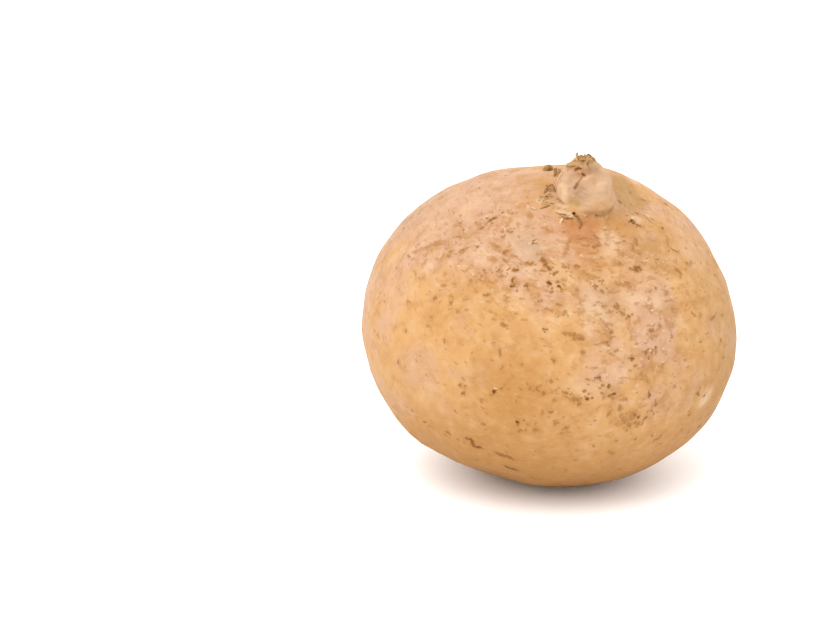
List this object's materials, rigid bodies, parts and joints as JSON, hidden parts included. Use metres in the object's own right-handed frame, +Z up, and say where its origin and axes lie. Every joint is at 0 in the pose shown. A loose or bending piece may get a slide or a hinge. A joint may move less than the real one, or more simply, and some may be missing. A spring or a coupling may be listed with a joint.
{
  "type": "jicama root",
  "caption": "Whole jicama, a squat storage root with a broken stem stub on top and a thin taproot end low on the back, resting on a small flat spot.",
  "frame": {"origin": "centre of the small flat spot that the root rests on", "axes": "+Z up, -Y the front, the side that the stem stub leans to, and +X the right seen from the front"},
  "size_m": [0.1198, 0.1161, 0.1091],
  "materials": {
    "skin": "satin",
    "stem_stub": "matte",
    "dry_scale": "matte"
  },
  "bodies": {
    "root": {"jicama_root": "skin"}
  },
  "joints": []
}
